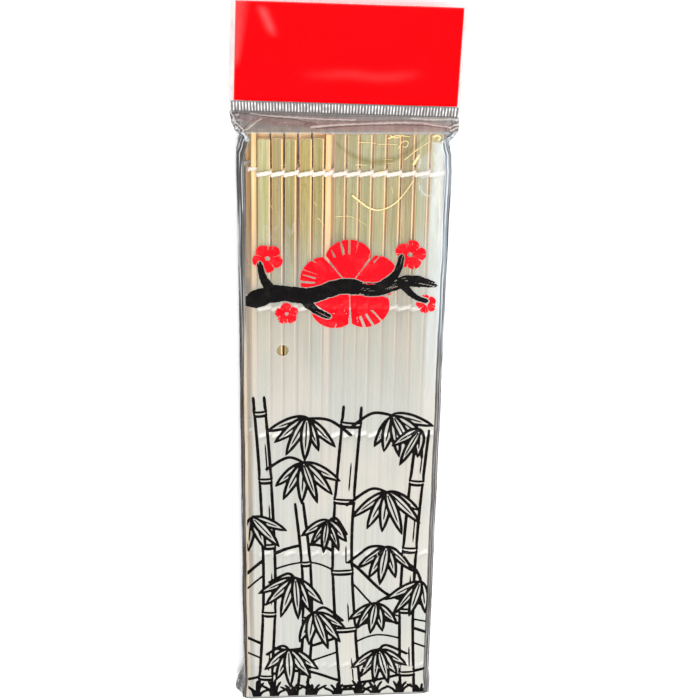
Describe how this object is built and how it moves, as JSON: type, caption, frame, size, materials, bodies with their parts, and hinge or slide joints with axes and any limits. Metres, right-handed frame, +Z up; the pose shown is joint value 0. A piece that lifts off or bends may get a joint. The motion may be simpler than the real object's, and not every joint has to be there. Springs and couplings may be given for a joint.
{
  "type": "sushi rolling mat",
  "caption": "Bamboo sushi rolling mat of twine-bound slats, folded in three and packed in a clear header bag with a red header; it unfolds and rolls.",
  "frame": {"origin": "under the middle of the lying pack, on the table", "axes": "+Z up out of the front of the pack, +Y to the header, +X to the right as the front is seen"},
  "size_m": [0.0824, 0.2902, 0.0179],
  "materials": {
    "bamboo_skin": "satin",
    "bamboo_inner": "matte",
    "twine": "matte",
    "splinter": "matte",
    "clear_film": "gloss",
    "milky_film": "gloss",
    "seal_film": "gloss",
    "red_card": "gloss"
  },
  "bodies": {
    "root": {"slat_01": "bamboo_skin", "slat_02": "bamboo_skin", "slat_03": "bamboo_skin", "slat_04": "bamboo_skin", "slat_05": "bamboo_skin", "slat_06": "bamboo_skin", "slat_07": "bamboo_skin", "slat_08": "bamboo_skin", "slat_09": "bamboo_skin", "slat_10": "bamboo_skin", "slat_11": "bamboo_skin", "slat_12": "bamboo_skin", "slat_13": "bamboo_skin", "slat_14": "bamboo_skin", "back_film": "clear_film", "front_film": "milky_film", "left_gusset": "clear_film", "right_gusset": "clear_film", "shoulder_film": "clear_film", "bottom_seal": "clear_film", "top_seal": "seal_film", "header_card": "red_card", "header_film": "clear_film", "loose_splinters": "splinter", "twine_row_1": "twine", "twine_row_2": "twine", "twine_row_3": "twine", "twine_row_4": "twine", "twine_row_5": "twine"},
    "right_fold": {"fold_slat_right": "bamboo_inner"},
    "middle_layer": {"slat_16": "bamboo_inner", "slat_17": "bamboo_inner", "slat_18": "bamboo_inner", "slat_19": "bamboo_inner", "slat_20": "bamboo_inner", "slat_21": "bamboo_inner", "slat_22": "bamboo_inner", "slat_23": "bamboo_inner", "slat_24": "bamboo_inner", "slat_25": "bamboo_inner", "slat_26": "bamboo_inner", "slat_27": "bamboo_inner", "slat_28": "bamboo_inner"},
    "left_fold": {"fold_slat_left": "bamboo_inner"},
    "slat_30": {"slat_30": "bamboo_skin"},
    "slat_31": {"slat_31": "bamboo_skin"},
    "slat_32": {"slat_32": "bamboo_skin"},
    "slat_33": {"slat_33": "bamboo_skin"},
    "slat_34": {"slat_34": "bamboo_skin"},
    "slat_35_on_edge": {"slat_35_on_edge": "bamboo_inner"},
    "slat_36": {"slat_36": "bamboo_skin"},
    "slat_37": {"slat_37": "bamboo_skin"},
    "slat_38": {"slat_38": "bamboo_skin"},
    "slat_39": {"slat_39": "bamboo_skin"},
    "slat_40": {"slat_40": "bamboo_skin"},
    "slat_41": {"slat_41": "bamboo_skin"},
    "slat_42": {"slat_42": "bamboo_skin"},
    "slat_43": {"slat_43": "bamboo_skin"}
  },
  "joints": [
    {"name": "unfold", "type": "hinge", "parent": "root", "child": "right_fold", "pos_m": [0.0332, 0, 0.0039], "axis": [0, 1, 0], "range_deg": [0, 90], "deforming": ["front_film", "left_gusset", "right_gusset", "shoulder_film", "loose_splinters", "twine_row_1", "twine_row_2", "twine_row_3", "twine_row_4", "twine_row_5"]},
    {"name": "right_fold_upper", "type": "hinge", "parent": "right_fold", "child": "middle_layer", "pos_m": [0.0332, 0, 0.0078], "axis": [0, 1, 0], "range_deg": [0, 90]},
    {"name": "left_fold_lower", "type": "hinge", "parent": "middle_layer", "child": "left_fold", "pos_m": [-0.0314, 0, 0.01], "axis": [0, -1, 0], "range_deg": [0, 90]},
    {"name": "left_fold_upper", "type": "hinge", "parent": "left_fold", "child": "slat_30", "pos_m": [-0.0314, 0, 0.0139], "axis": [0, -1, 0], "range_deg": [0, 90]},
    {"name": "roll_slat_31", "type": "hinge", "parent": "slat_30", "child": "slat_31", "pos_m": [-0.0262, 0, 0.015], "axis": [0, -1, 0], "range_deg": [0, 16.2]},
    {"name": "roll_slat_32", "type": "hinge", "parent": "slat_31", "child": "slat_32", "pos_m": [-0.0216, 0, 0.015], "axis": [0, -1, 0], "range_deg": [0, 16.2]},
    {"name": "roll_slat_33", "type": "hinge", "parent": "slat_32", "child": "slat_33", "pos_m": [-0.0165, 0, 0.015], "axis": [0, -1, 0], "range_deg": [0, 16.2]},
    {"name": "roll_slat_34", "type": "hinge", "parent": "slat_33", "child": "slat_34", "pos_m": [-0.01135, 0, 0.015], "axis": [0, -1, 0], "range_deg": [0, 16.2]},
    {"name": "roll_slat_35_on_edge", "type": "hinge", "parent": "slat_34", "child": "slat_35_on_edge", "pos_m": [-0.00705, 0, 0.015], "axis": [0, -1, 0], "range_deg": [0, 16.2]},
    {"name": "roll_slat_36", "type": "hinge", "parent": "slat_35_on_edge", "child": "slat_36", "pos_m": [-0.0041, 0, 0.015], "axis": [0, -1, 0], "range_deg": [0, 16.2]},
    {"name": "roll_slat_37", "type": "hinge", "parent": "slat_36", "child": "slat_37", "pos_m": [0.0008, 0, 0.015], "axis": [0, -1, 0], "range_deg": [0, 16.2]},
    {"name": "roll_slat_38", "type": "hinge", "parent": "slat_37", "child": "slat_38", "pos_m": [0.0055, 0, 0.015], "axis": [0, -1, 0], "range_deg": [0, 16.2]},
    {"name": "roll_slat_39", "type": "hinge", "parent": "slat_38", "child": "slat_39", "pos_m": [0.0102, 0, 0.015], "axis": [0, -1, 0], "range_deg": [0, 16.2]},
    {"name": "roll_slat_40", "type": "hinge", "parent": "slat_39", "child": "slat_40", "pos_m": [0.0152, 0, 0.015], "axis": [0, -1, 0], "range_deg": [0, 16.2]},
    {"name": "roll_slat_41", "type": "hinge", "parent": "slat_40", "child": "slat_41", "pos_m": [0.02035, 0, 0.015], "axis": [0, -1, 0], "range_deg": [0, 16.2]},
    {"name": "roll_slat_42", "type": "hinge", "parent": "slat_41", "child": "slat_42", "pos_m": [0.0254, 0, 0.015], "axis": [0, -1, 0], "range_deg": [0, 16.2]},
    {"name": "roll_slat_43", "type": "hinge", "parent": "slat_42", "child": "slat_43", "pos_m": [0.0306, 0, 0.015], "axis": [0, -1, 0], "range_deg": [0, 16.2]}
  ],
  "couplings": [
    {"joint": "right_fold_upper", "follows": "unfold", "ratio": 1},
    {"joint": "left_fold_lower", "follows": "unfold", "ratio": 1},
    {"joint": "left_fold_upper", "follows": "unfold", "ratio": 1},
    {"joint": "roll_slat_31", "follows": "unfold", "ratio": 0.18},
    {"joint": "roll_slat_32", "follows": "unfold", "ratio": 0.18},
    {"joint": "roll_slat_33", "follows": "unfold", "ratio": 0.18},
    {"joint": "roll_slat_34", "follows": "unfold", "ratio": 0.18},
    {"joint": "roll_slat_35_on_edge", "follows": "unfold", "ratio": 0.18},
    {"joint": "roll_slat_36", "follows": "unfold", "ratio": 0.18},
    {"joint": "roll_slat_37", "follows": "unfold", "ratio": 0.18},
    {"joint": "roll_slat_38", "follows": "unfold", "ratio": 0.18},
    {"joint": "roll_slat_39", "follows": "unfold", "ratio": 0.18},
    {"joint": "roll_slat_40", "follows": "unfold", "ratio": 0.18},
    {"joint": "roll_slat_41", "follows": "unfold", "ratio": 0.18},
    {"joint": "roll_slat_42", "follows": "unfold", "ratio": 0.18},
    {"joint": "roll_slat_43", "follows": "unfold", "ratio": 0.18}
  ]
}
